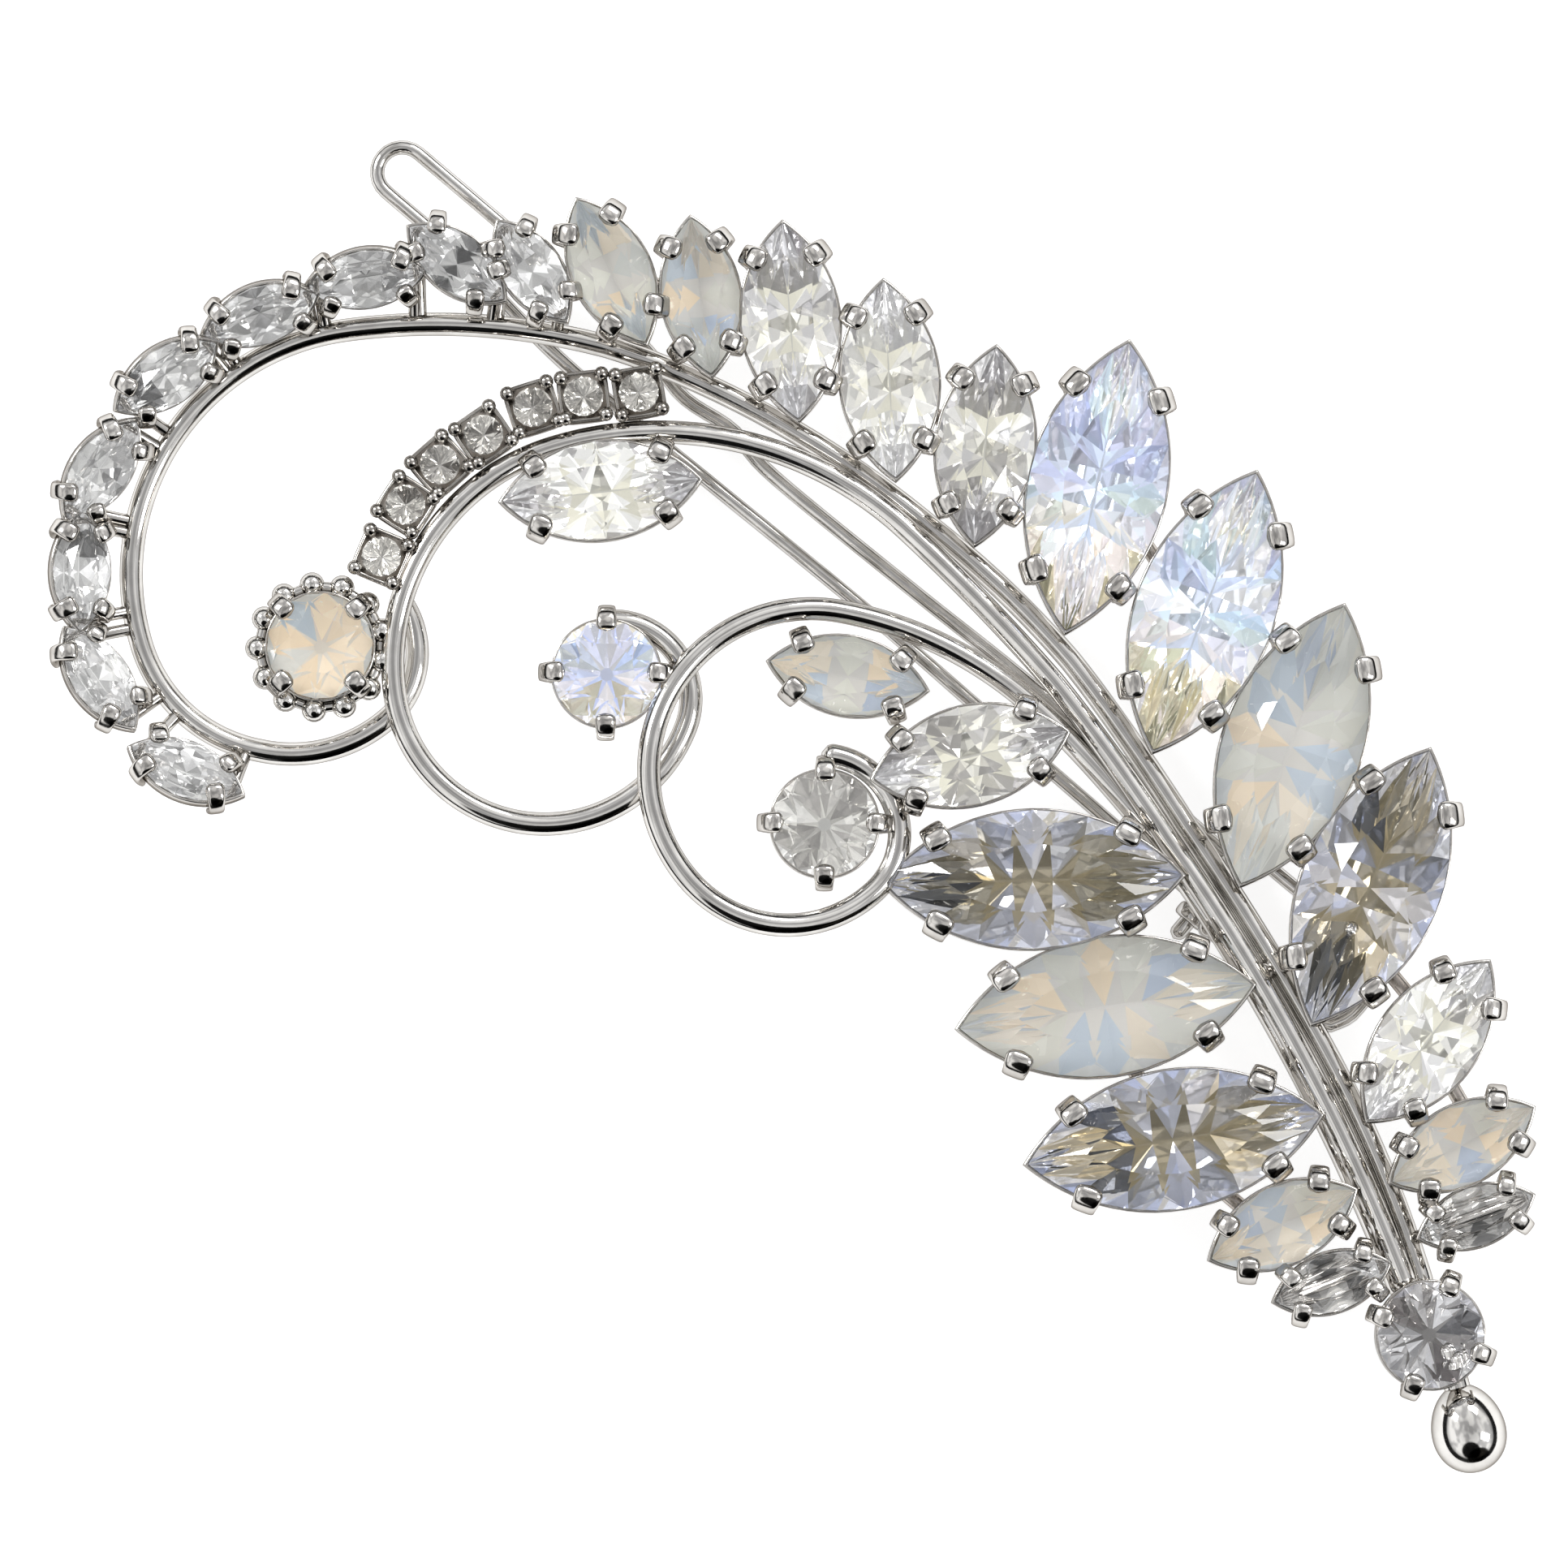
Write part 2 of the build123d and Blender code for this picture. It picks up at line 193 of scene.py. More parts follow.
POLISHED = bright_metal("polished_rhodium_plate", (0.62, 0.605, 0.58), (0.74, 0.725, 0.70), 0.05, 0.11, 0.10)
STAMPED = bright_metal("stamped_claw_metal", (0.48, 0.46, 0.435), (0.66, 0.64, 0.61), 0.06, 0.15, 0.2)
CUP_METAL = bright_metal("pressed_cup_metal", (0.28, 0.26, 0.24), (0.50, 0.48, 0.45), 0.08, 0.18, 0.3)
WIRE = bright_metal("drawn_spring_wire", (0.52, 0.505, 0.48), (0.66, 0.645, 0.625), 0.08, 0.16, 0.15)
SOLDER = bright_metal("solder_joint_metal", (0.34, 0.30, 0.27), (0.58, 0.54, 0.50), 0.14, 0.30, 0.5)


def crown_glass(name, tint):
    """Cut glass above the girdle."""
    material, _, surface = shader(name, Roughness=0.0, IOR=1.56, Transmission_Weight=1.0)
    surface.inputs["Base Color"].default_value = (*tint, 1)
    return material


def facet_back(name, metallic, rough, painted_glow):
    """Back of a stone under its crown: foil or milk, tinted facet by facet with the stone's colours and
    painted reflections, and lit by a painted glow of those colours.
    """
    material, tree, surface = shader(name, Metallic=metallic, Roughness=rough, Emission_Strength=painted_glow)
    # the per-face colours, painted reflections among them, also drive the painted glow
    tint = tree.nodes.new("ShaderNodeAttribute")
    tint.attribute_name = "tint"
    tree.links.new(tint.outputs["Color"], surface.inputs["Base Color"])
    tree.links.new(tint.outputs["Color"], surface.inputs["Emission Color"])
    return material


CLEAR = crown_glass("clear_cut_crystal", (1.0, 1.0, 1.0))
AURORA = crown_glass("aurora_coated_crystal", (0.98, 0.985, 1.0))
OPAL = crown_glass("opal_cut_glass", (0.985, 0.985, 0.98))
# the last figure of each is a painted glow: the foil and the milk give off light in their facets' colours,
# standing in for light through the stone
FOIL = facet_back("facet_foil", 0.9, 0.03, 0.22)
COATED_FOIL = facet_back("coated_facet_foil", 0.8, 0.04, 0.26)
MILK = facet_back("opal_milk", 0.0, 0.35, 0.22)


# ---------------------------------------------------------------- cut stones
def lens_point(theta, length, width):
    """Pointed oval at the angle theta: x = half length x cos, y on the arc of that x."""
    x = 0.5 * length * np.cos(theta)
    r = (length ** 2 + width ** 2) / (4 * width)
    y = np.sqrt(np.maximum(r * r - x * x, 0)) - r + 0.5 * width
    y = np.where(np.abs(np.sin(theta)) < 1e-6, 0.0, y)
    return np.stack([x, np.sign(np.sin(theta)) * y], -1)


def cut_stone(outline, mains, crown, pavilion, table, keel, girdle=GIRDLE_H):
    """A brilliant-cut stone.

    Rings of points lie on the outline scaled about the centre: the table's corners at the
    even angles, the crown's middle ring at the half angles, the girdle at both, top and
    bottom, the pavilion's middle ring at the half angles and the culet's line at the even
    ones.  Star, kite and half facets are laid between them.  Returns the points, the faces,
    and for each face its kind: 0 crown, 1 girdle, 2 pavilion main, 3 pavilion half, 4 keel.
    """
    even = 2 * np.pi * np.arange(mains) / mains
    half = even + np.pi / mains
    full = 2 * np.pi * np.arange(2 * mains) / (2 * mains)

    def ring(theta, sx, sy, z):
        p = outline(theta) * (sx, sy)
        return np.concatenate([p, np.full((len(theta), 1), z)], 1)

    mid = 0.5 * (1 + table[0]), 0.5 * (1 + table[1])
    top = girdle + crown
    rings = [
        ring(even, *table, top),
        ring(half, mid[0] * 1.03, mid[1] * 1.03, girdle + 0.55 * crown),
        ring(full, 1, 1, girdle),
        ring(full, 1, 1, 0.0),
        ring(half, 0.62, 0.62, -0.52 * pavilion),
        ring(even, *keel, -pavilion),
    ]
    t, m, g, b, q, c = np.cumsum([0] + [len(r) for r in rings])[:6]
    n = mains
    faces, kinds = [[int(t + j) for j in range(n)]], [0]
    for j in range(n):
        k = (j + 1) % n
        p = (j - 1) % n
        g0, g1, g2 = g + 2 * j, g + 2 * j + 1, g + (2 * j + 2) % (2 * n)
        b0, b1, b2 = b + 2 * j, b + 2 * j + 1, b + (2 * j + 2) % (2 * n)
        faces += [
            [t + j, m + j, t + k], [t + j, m + p, g0, m + j], [m + j, g0, g1], [m + j, g1, g2],
            [g0, b0, b1, g1], [g1, b1, b2, g2],
            [b0, q + j, b1], [b1, q + j, b2], [b0, q + p, c + j, q + j], [q + j, c + j, c + k],
        ]
        kinds += [0, 0, 0, 0, 1, 1, 3, 3, 2, 4]
    faces.append([int(c + n - 1 - j) for j in range(n)])
    kinds.append(4)
    return np.concatenate(rings), [[int(i) for i in f] for f in faces], np.array(kinds)


def paint_facet_colours_and_light(points, faces, kinds, palette, half_length, half_width):
    """A colour for every face, partly the stone's own and partly painted reflection of light and
    shade: rim colours near the outline, heart colours near the middle and, where the palette has
    them, foot colours towards the end beside the stems.  A stretch above 1 draws the heart out
    along the stone."""
    centres = np.array([points[f].mean(0) for f in faces])
    stretch = palette.get("stretch", 1.0)
    along = centres[:, 0] / half_length
    across = np.clip(np.hypot(along / stretch, centres[:, 1] / half_width * stretch), 0, 1)

    def pick(colours):
        return np.array(colours)[RNG.integers(0, len(colours), len(faces))]

    share = 1 / (1 + np.exp(-(across - palette["edge"]) / 0.06))[:, None]
    colour = pick(palette["rim"]) * share + pick(palette["heart"]) * (1 - share)
    if "foot" in palette:
        foot = 1 / (1 + np.exp(-(along - palette["foot_at"]) / 0.08))[:, None]
        colour = pick(palette["foot"]) * foot + colour * (1 - foot)
    colour *= RNG.uniform(0.92, 1.08, (len(faces), 1))
    colour[kinds == 4] = np.mean(palette["heart"], 0)
    return np.concatenate([np.clip(colour, 0, 1), np.ones((len(faces), 1))], 1)


# colours of the facets behind the crown, partly painted light: the white, grey and black facets
# are painted reflections of the bright and dark room, as are the dark hearts of the moonlight and
# tip stones, and the blue, lavender and peach ones are the coating's and the opal glass's own
# colours; "edge" is where the heart gives way to the rim, as a share of the way out, and
# "foot_at" where the foot begins, as a share of the half length
FACET_COLOURS_AND_PAINTED_LIGHT = {
    "crystal": {"edge": 0.50, "rim": [(0.86, 0.86, 0.88), (1.0, 1.0, 0.99), (0.50, 0.49, 0.50)],
                "heart": [(0.90, 0.88, 0.76), (1.0, 1.0, 0.97), (0.62, 0.61, 0.54)]},
    "moonlight": {"edge": 0.66, "stretch": 1.25,
                  "rim": [(0.64, 0.69, 0.86), (0.94, 0.95, 0.98), (0.80, 0.82, 0.90)],
                  "heart": [(0.16, 0.14, 0.09), (0.70, 0.60, 0.40), (0.03, 0.03, 0.025),
                            (0.34, 0.31, 0.24), (0.24, 0.21, 0.13), (0.62, 0.55, 0.40)]},
    "aurora": {"edge": 0.70, "rim": [(0.68, 0.69, 0.82), (0.86, 0.87, 0.93), (0.66, 0.76, 0.84)],
               "heart": [(0.60, 0.65, 0.84), (0.68, 0.82, 0.86), (0.90, 0.92, 0.95), (0.68, 0.70, 0.82)],
               "foot": [(0.90, 0.80, 0.68), (0.66, 0.60, 0.42), (0.92, 0.88, 0.84), (0.30, 0.28, 0.18)],
               "foot_at": 0.22},
    "opal": {"edge": 0.62, "rim": [(0.56, 0.57, 0.55), (0.62, 0.62, 0.58), (0.55, 0.57, 0.58)],
             "heart": [(0.40, 0.48, 0.62), (0.86, 0.70, 0.50), (0.66, 0.66, 0.60), (0.45, 0.53, 0.63),
                       (0.78, 0.69, 0.56), (0.56, 0.58, 0.57)]},
    "small": {"edge": 0.55, "rim": [(0.96, 0.96, 0.96), (0.46, 0.46, 0.46), (1.0, 1.0, 1.0)],
              "heart": [(0.96, 0.96, 0.94), (1.0, 1.0, 1.0), (0.03, 0.03, 0.03)]},
    "bright": {"edge": 0.50, "rim": [(0.80, 0.79, 0.77), (0.34, 0.33, 0.32), (1.0, 1.0, 0.99)],
               "heart": [(0.94, 0.94, 0.90), (0.60, 0.60, 0.56), (1.0, 1.0, 0.98), (0.30, 0.29, 0.27)]},
    "flash": {"edge": 0.66, "rim": [(0.95, 0.93, 0.88), (0.80, 0.88, 1.0), (0.98, 0.98, 1.0)],
              "heart": [(0.60, 0.65, 0.88), (0.94, 0.94, 0.98), (0.74, 0.77, 0.94), (0.52, 0.62, 0.82)],
              "foot": [(0.95, 0.80, 0.58), (1.0, 0.94, 0.84), (0.74, 0.66, 0.46)], "foot_at": 0.15},
    "mosaic": {"edge": 0.80, "rim": [(0.52, 0.58, 0.62), (0.62, 0.62, 0.59)],
               "heart": [(0.46, 0.55, 0.64), (0.86, 0.72, 0.54), (0.62, 0.63, 0.61), (0.86, 0.74, 0.58)]},
    "chain": {"edge": 0.55, "rim": [(0.62, 0.61, 0.58), (0.20, 0.19, 0.18), (0.92, 0.91, 0.88)],
              "heart": [(0.94, 0.93, 0.90), (0.12, 0.11, 0.10), (0.56, 0.55, 0.52)]},
    "tip": {"edge": 0.64, "rim": [(0.78, 0.79, 0.83), (0.96, 0.96, 0.97), (0.52, 0.52, 0.56)],
            "heart": [(0.02, 0.02, 0.015), (0.78, 0.78, 0.78), (0.06, 0.04, 0.03), (0.35, 0.34, 0.33)]},
}

# stone length: width, crown height, pavilion depth, claw width, number of main facets
CUTS = {15: (7.0, 1.35, 2.6, 1.5, 16), 10: (5.0, 1.05, 2.1, 1.25, 10), 8: (4.0, 0.95, 1.8, 1.2, 8),
        6: (3.0, 0.8, 1.4, 1.0, 8)}


def navette(length):
    """Points, faces and kinds of the pointed-oval stone of this length, in its own frame."""
    width, crown, pavilion, _, mains = CUTS[length]
    return cut_stone(lambda a: lens_point(a, length, width), mains, crown, pavilion,
                     (0.60, 0.50), (0.36, 0.02))


def round_outline(radius):
    """Circle of the radius, as an outline function of the angle."""
    return lambda a: radius * np.stack([np.cos(a), np.sin(a)], -1)


def stone_piece(name, cuts, seats, palette, glass, back, slot_name, node):
    """Stones of one node: one cut solid at each seat, glass above and foil or milk below, each
    face carrying a colour that is partly painted reflection of light and shade.
    """
    parts, slots, facet_colours_and_painted_light = [], [], []
    for (points, faces, kinds), seat in zip(cuts, seats):
        half = np.abs(points[:, :2]).max(0)
        facet_colours_and_painted_light.append(paint_facet_colours_and_light(points, faces, kinds, FACET_COLOURS_AND_PAINTED_LIGHT[palette], *half))
        slots.append((kinds >= 2).astype(int))
        parts.append((turned(points, seat), faces))
    return make(name, parts, [glass, back], [node], smooth=False,
                slots=np.concatenate(slots), facet_colours_and_painted_light=np.concatenate(facet_colours_and_painted_light))


def node_points(node):
    """The CAD node's points, in millimetres."""
    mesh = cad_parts[node].data
    co = np.empty(3 * len(mesh.vertices), np.float32)
    mesh.vertices.foreach_get("co", co)
    return co.reshape(-1, 3) / MM


def seat_of(node):
    """Length and seat of a lone pointed-oval stone, read from its node: the point furthest
    from the middle in plan is a tip, and the girdle's foot is a pavilion above the bottom.
    The tip beside the stems is the one that the stone's own +x points to."""
    co = node_points(node)
    centre = 0.5 * (co.min(0) + co.max(0))
    flat = co[:, :2] - centre[:2]
    tip = flat[np.argmax((flat ** 2).sum(1))]
    if tip[1] * (-1 if node.startswith("upper") else 1) < 0:
        tip = -tip
    length = int(round(2 * np.hypot(*tip)))
    centre[2] = co[:, 2].min() + CUTS[length][2]
    return length, (centre, math.degrees(math.atan2(tip[1], tip[0])), 0.0)


# ---------------------------------------------------------------- claw settings
def boat_shell(outline, scale_x, scale_y, half, pavilion):
    """Sheet shell under a stone: rings of the outline, grown or shrunk, down the outside of
    the wall and back up its inside, closed into one skin with an open foot."""
    theta = np.linspace(0, 2 * np.pi, 64, endpoint=False)
    base = outline(theta)
    # (growth in mm at the rim, share of the outline kept, height)
    outside = [(0.01, 1.0, 0.02), (0.06, 1.0, 0.05), (0.11, 1.0, 0.02), (0.13, 1.0, -0.08),
               (0.13, 1.0, -0.5), (0.10, 0.93, -0.62), (0.05, 0.6, -0.62 * pavilion),
               (0.05, 0.33, -pavilion - 0.12)]
    inside = [(0.0, 0.27, -pavilion - 0.12), (0.03, 0.55, -0.62 * pavilion - 0.05), (0.03, 0.88, -0.66),
              (0.03, 1.0, -0.42), (0.02, 1.0, -0.1)]
    rings = []
    for grow, share, z in outside + inside:
        kept = np.array([1 - (1 - share) * scale_x, 1 - (1 - share) * scale_y])
        p = base * kept * (1 + grow / half)
        rings.append(np.concatenate([p, np.full((len(theta), 1), z)], 1))
    rings = np.stack(rings)
    rows, cols = rings.shape[:2]
    return rings.reshape(-1, 3), grid_faces(rows, cols, wrap_rows=True).tolist()


def smooth_path(points, count):
    """Catmull-Rom curve through the points, sampled evenly in its parameter."""
    p = np.asarray(points, float)
    p = np.concatenate([2 * p[:1] - p[1:2], p, 2 * p[-1:] - p[-2:-1]])
    u = np.linspace(0, len(p) - 3 - 1e-9, count)
    i = u.astype(int)
    t = (u - i)[:, None]
    a, b, c, d = p[i], p[i + 1], p[i + 2], p[i + 3]
    square = 2 * a - 5 * b + 4 * c - d
    cube = 3 * b - a - 3 * c + d
    return 0.5 * (2 * b + (c - a) * t + square * t ** 2 + cube * t ** 3)


def claw(foot, inward, width, crown, drop):
    """One claw: a rounded flat strap that rises beside the girdle and folds over the crown,
    ending in a pillow.  A squarish ring is carried up the path; its width and thickness
    swell over the fold and close at the tip."""
    rise = GIRDLE_H + 0.45 * crown
    k = min(1.0, width / 1.2)
    # (distance out from the girdle, height)
    line = [(0.16, -drop), (0.26, -0.75), (0.46, -0.30), (0.58, 0.15), (0.56, rise - 0.15),
            (0.28, rise + 0.20 * k), (-0.20 * k, rise + 0.32 * k), (-0.66 * k, rise + 0.26 * k)]
    path = smooth_path(line, 30)
    s = np.linspace(0, 1, 30)
    ahead = np.gradient(path, axis=0)
    ahead /= np.linalg.norm(ahead, axis=1)[:, None]
    side = np.stack([ahead[:, 1], -ahead[:, 0]], -1)
    close = np.sqrt(np.clip(1 - np.clip((s - 0.88) / 0.12, 0, 1) ** 2, 0.02, 1))
    swell = 1 / (1 + np.exp(-(s - 0.72) / 0.05))
    half_w = 0.5 * width * (0.82 + 0.16 * swell) * close
    half_t = (0.17 + 0.24 * k * swell) * close
    a = np.linspace(0, 2 * np.pi, 20, endpoint=False)
    ca = np.sign(np.cos(a)) * np.abs(np.cos(a)) ** 0.62
    sa = np.sign(np.sin(a)) * np.abs(np.sin(a)) ** 0.62
    along = np.array([-inward[1], inward[0]])
    out = path[:, 0][:, None] + half_t[:, None] * sa * side[:, 0][:, None]
    z = path[:, 1][:, None] + half_t[:, None] * sa * side[:, 1][:, None]
    w = half_w[:, None] * ca
    x = foot[0] - inward[0] * out + along[0] * w
    y = foot[1] - inward[1] * out + along[1] * w
    return closed_grid(np.stack([x, y, np.broadcast_to(z, x.shape)], -1))


def navette_setting(length):
    """The boat shell and four claws of a pointed-oval setting, in the stone's own frame."""
    width, crown, pavilion, prong, _ = CUTS[length]
    parts = [boat_shell(lambda a: lens_point(a, length, width), 0.72, 1.0, 0.5 * width, pavilion)]
    station = 0.325 * length
    r = (length ** 2 + width ** 2) / (4 * width)
    edge = math.sqrt(r * r - station ** 2) - r + 0.5 * width
    slope = station / r
    for sx in (-1, 1):
        for sy in (-1, 1):
            inward = np.array([-sx * slope, -sy * math.sqrt(1 - slope ** 2)])
            parts.append(claw((sx * station, sy * edge), inward, prong, crown, 0.62 * pavilion))
    return parts


def round_setting(radius, crown, pavilion, prong):
    """The cup and four claws of a round setting."""
    parts = [boat_shell(round_outline(radius), 1.0, 1.0, radius, pavilion)]
    for k in range(4):
        a = k * np.pi / 2
        parts.append(claw((radius * math.cos(a), radius * math.sin(a)),
                          np.array([-math.cos(a), -math.sin(a)]), prong, crown, 0.62 * pavilion))
    return parts


# ---------------------------------------------------------------- stones in their settings
AURORAS = ("upper_leaf_6", "upper_leaf_7")
OPALS = ("upper_leaf_2", "upper_leaf_5", "upper_leaf_11", "upper_leaf_12", "lower_leaf_2",
         "lower_leaf_4", "scroll_leaf_inner")
MOONLIGHTS = ("upper_leaf_4", "lower_leaf_3", "lower_leaf_5")


def leaf_look(leaf):
    """Palette, crown glass, back and material slot of a leaf's stone."""
    if leaf in AURORAS:
        return "aurora", AURORA, COATED_FOIL, "aurora_crystal"
    if leaf in OPALS:
        return "opal", OPAL, MILK, "opal_glass"
    if leaf in MOONLIGHTS:
        return "moonlight", CLEAR, COATED_FOIL, "clear_crystal"
    return "crystal", CLEAR, FOIL, "clear_crystal"


nodes = sorted(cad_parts)
leaves = [n[:-6] for n in nodes if "_leaf_" in n and n.endswith("_stone") and not n.startswith("small")]
for leaf in leaves:
    length, seat = seat_of(f"{leaf}_stone")
    stone_piece(f"{leaf}_cut_stone", [navette(length)], [seat], *leaf_look(leaf), f"{leaf}_stone")
    setting = [(turned(p, seat), f) for p, f in navette_setting(length)]
    make(f"{leaf}_claw_setting", setting, [STAMPED], [f"{leaf}_setting"])

# small stones: x, y, turn, outward lean
SMALL_GIRDLE_Z = 4.9
SMALL_STONES = (
    (-32.1, 7.9, -15, 0), (-35.3, 5.7, 3, 0), (-38.3, 2.1, 49, 20), (-41.2, -2.8, 60, 20),
    (-42.8, -8.3, 75, 20), (-42.2, -14.1, 95, 20), (-39.6, -18.7, 130, 20), (-35.3, -22.2, 165, 20),
    (-28.9, -22.9, 198, 20), (35.7, 2.4, -119, 0), (32.3, -4.9, 59, 0),
)
small_seats = [(SHIFT + (x, y, SMALL_GIRDLE_Z), turn, lean) for x, y, turn, lean in SMALL_STONES]
stone_piece("small_leaf_cut_stones", [navette(6)] * len(small_seats), small_seats, "small", CLEAR,
            FOIL, "clear_crystal", "small_leaf_stone")
small_settings = [(turned(p, seat), f) for seat in small_seats for p, f in navette_setting(6)]

ROUND_R = 2.7
ROUND_CROWN = 1.1
ROUND_PAVILION = 2.2
ROUND_MAINS = 9
ROUND_TABLE = 0.56                      # table's width as a share of the stone's
ROUND_CULET = 0.13
ROUND_CLAW_W = 1.1
# turn, palette, crown glass, back, material slot
ROUND_LOOKS = {
    "tip_round": (20, "tip", CLEAR, FOIL, "clear_crystal"),
    "inner_round": (40, "bright", CLEAR, FOIL, "clear_crystal"),
    "middle_round": (310, "flash", AURORA, COATED_FOIL, "aurora_crystal"),
    "outer_round": (85, "mosaic", OPAL, MILK, "opal_glass"),
}
round_cut = cut_stone(round_outline(ROUND_R), ROUND_MAINS, ROUND_CROWN, ROUND_PAVILION,
                      (ROUND_TABLE, ROUND_TABLE), (ROUND_CULET, ROUND_CULET))
for name, (turn, *look) in ROUND_LOOKS.items():
    low, high = (np.array(v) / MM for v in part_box(f"{name}_stone"))
    centre = 0.5 * (low + high)
    centre[2] = low[2] + ROUND_PAVILION
    seat = (centre, turn, 0.0)
    stone_piece(f"{name}_cut_stone", [round_cut], [seat], *look, f"{name}_stone")
    cup = round_setting(ROUND_R, ROUND_CROWN, ROUND_PAVILION, ROUND_CLAW_W)
    make(f"{name}_claw_cup", [(turned(p, seat), f) for p, f in cup],
         [STAMPED], [f"{name}_setting"])


# ---------------------------------------------------------------- stems
def arc_path(tip, heading, height, tilt, bends, step=0.3):
    """Tangent arcs one after another in a plane through the tip: the heading turns evenly
    along each bend.  The plane is tilted about the first heading."""
    x, y, h = 0.0, 0.0, 0.0
    points = [(0.0, 0.0)]
    for radius, turn in bends:
        count = max(2, int(radius * math.radians(turn) / step))
        a = h + math.radians(turn) * np.arange(1, count + 1) / count
        px = x + radius * (np.sin(a) - math.sin(h))
        py = y - radius * (np.cos(a) - math.cos(h))
        points += list(zip(px, py))
        x, y, h = px[-1], py[-1], a[-1]
    flat = np.array(points)
    local = np.concatenate([flat, np.zeros((len(flat), 1))], 1)
    return turned(local, (SHIFT + (tip[0], tip[1], height), heading, tilt))


def tube(path, radius, sides=24, up=(0, 0, 1)):
    """Round rod along a path: a circle square to the path at each point, with domed ends."""
    path = np.asarray(path, float)
    ahead = np.gradient(path, axis=0)
    ahead /= np.linalg.norm(ahead, axis=1)[:, None]
    side = np.cross(ahead, np.asarray(up, float))
    side /= np.linalg.norm(side, axis=1)[:, None]
    over = np.cross(side, ahead)
    dome = np.array([0.0, 0.38, 0.71, 0.92, 1.0])
    grow = np.sqrt(np.clip(1 - (1 - dome) ** 2, 0, 1))
    grow[0] = 0.12
    head = path[0] - ahead[0] * radius * (1 - dome)[:, None]
    tail = path[-1] + ahead[-1] * radius * (1 - dome[::-1])[:, None]
    line = np.concatenate([head, path[1:-1], tail])
    size = radius * np.concatenate([grow, np.ones(len(path) - 2), grow[::-1]])
    pick = np.concatenate([np.zeros(5, int), np.arange(1, len(path) - 1), np.full(5, len(path) - 1)])
    a = np.linspace(0, 2 * np.pi, sides, endpoint=False)
    ring = (np.cos(a)[None, :, None] * side[pick][:, None]
            + np.sin(a)[None, :, None] * over[pick][:, None])
    return closed_grid(line[:, None] + ring * size[:, None, None])


STEMS = {
    "outer_stem": ((35.9, -1.45), 147.5, OUTER_Z, 0.0,
                   ((64, 11.9), (133, 9), (50, 32), (34, 28), (12.6, 99), (7.8, 114), (4.4, 80))),
    "middle_stem": ((35.2, -2.0), 151.5, MIDDLE_Z, 0.6,
                    ((102, 26), (18.5, 60), (11.5, 81), (7.7, 151), (4.0, 109))),
    "inner_stem": ((34.9, -3.1), 151.5, INNER_Z, 7.0,
                   ((102, 11.8), (72, 9.5), (20, 38), (8.4, 140), (6.6, 93), (4.0, 128))),
}
CURL_SET = np.array([-0.50, 0.58])      # how far the outer curl is pulled towards its stones
CURL_X = -8.0                           # where that pull begins
CURL_EASE = 18.0                        # length over which it grows
# how far each rod is moved along the spine, to lay the middle one over the inner one
TUCK = {"outer_stem": np.array([-0.15, -0.32, 0.0]), "middle_stem": np.array([-0.22, -0.38, 0.0]),
        "inner_stem": np.array([0.15, 0.32, -0.15])}
TUCK_X = 2.0
TUCK_EASE = 10.0
SPINE_STEPS = 200                       # points from a rod's tip that can belong to the spine
stem_paths = {name: arc_path(*spec) for name, spec in STEMS.items()}
for name, path in stem_paths.items():
    if name == "outer_stem":
        path[:, :2] += np.clip((CURL_X - path[:, :1]) / CURL_EASE, 0, 1) * CURL_SET
    on_spine = (np.arange(len(path)) < SPINE_STEPS)[:, None]
    path += np.clip((path[:, :1] - TUCK_X) / TUCK_EASE, 0, 1) * on_spine * TUCK[name]
    make(f"{name}_rod", [tube(path, ROD_R, 32)], [POLISHED], [name])


def strut(start, end, radius):
    """Short soldered wire between two points."""
    share = np.linspace(0, 1, 8)[:, None]
    return tube(np.asarray(start) * (1 - share) + np.asarray(end) * share, radius, 14)


STRUT_R = 0.32
STRUT_AT = 2.5                          # from the middle of the stone, along it
# each small stone's setting stands on the rod beside it by a short wire at either end
for seat in small_seats:
    for end in (-STRUT_AT, STRUT_AT):
        foot = turned(np.array([end, 0.0, -0.5]), seat)
        near = min(stem_paths.values(), key=lambda path: np.linalg.norm(path - foot, axis=1).min())
        rod = near[np.argmin(np.linalg.norm(near - foot, axis=1))]
        small_settings.append(strut(foot, rod, STRUT_R))
make("small_leaf_claw_settings", small_settings, [STAMPED], ["small_leaf_setting"])


# ---------------------------------------------------------------- cup chain
CUP_W = 2.62
CUP_H = 1.5
CUPS = (
    (-23.9, 6.7, 50), (-25.9, 4.7, 47), (-27.5, 2.6, 58), (-28.5, -0.1, 75),
    (-29.2, -2.7, 82), (-29.2, -5.4, 98), (-28.4, -8.2, 108),
)


def square_outline(half):
    """Square with rounded corners: cosine and sine raised to a small power."""
    def outline(a):
        c, s = np.cos(a), np.sin(a)
        return half * np.stack([np.sign(c) * np.abs(c) ** 0.35, np.sign(s) * np.abs(s) ** 0.35], -1)
    return outline


def ball_skin(centre, radius, rows=10, cols=14, squash=(1, 1, 1)):
    """Ball: rings of latitude, closed at both poles."""
    lat = np.linspace(0.12, np.pi - 0.12, rows)[:, None]
    lon = np.linspace(0, 2 * np.pi, cols, endpoint=False)[None, :]
    shape = np.stack([np.sin(lat) * np.cos(lon), np.sin(lat) * np.sin(lon), np.cos(lat) + 0 * lon], -1)
    return closed_grid(np.asarray(centre) + radius * shape * squash)


